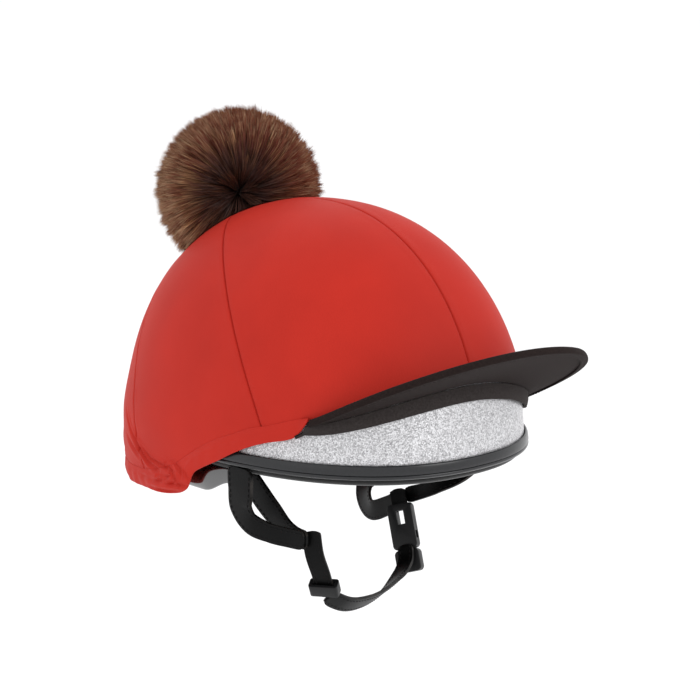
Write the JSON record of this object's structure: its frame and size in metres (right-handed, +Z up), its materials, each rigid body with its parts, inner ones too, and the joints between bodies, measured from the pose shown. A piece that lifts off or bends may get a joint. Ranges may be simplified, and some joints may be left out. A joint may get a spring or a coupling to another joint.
{
  "type": "jockey cap",
  "caption": "Hard riding skull cap with a glitter shell, a stretch cover with a peak and a fur pompom, and a chin harness with a side-release buckle.",
  "frame": {"origin": "middle of the head opening, level with the lower edge of the skull cap", "axes": "the peak points towards -Y, the wearer's right is -X, +Z is up through the crown"},
  "size_m": [0.2186, 0.3289, 0.3022],
  "materials": {
    "shell": "silver glitter lacquer",
    "rubber": "glossy",
    "padding": "matt",
    "cover": "stretch cloth, soft sheen",
    "peak": "matt",
    "fur": "long pile",
    "harness": "satin",
    "buckle": "satin"
  },
  "bodies": {
    "root": {"buckle_socket": "buckle", "buckle_tongue": "buckle", "chin_strap": "harness", "cover_panel_1": "cover", "cover_panel_2": "cover", "cover_panel_3": "cover", "cover_panel_4": "cover", "cover_panel_5": "cover", "cover_panel_6": "cover", "edge_trim": "rubber", "hem_casing": "cover", "left_front_strap": "harness", "left_rear_strap": "harness", "left_side_strap": "harness", "liner_band": "padding", "liner_crown": "padding", "nape_pad": "harness", "peak": "peak", "peak_band": "peak", "peak_binding": "peak", "pompom": "fur", "right_inner_strap": "harness", "right_outer_strap": "harness", "right_side_strap": "harness", "skull_shell": "shell", "strap_keeper": "buckle"}
  },
  "joints": []
}
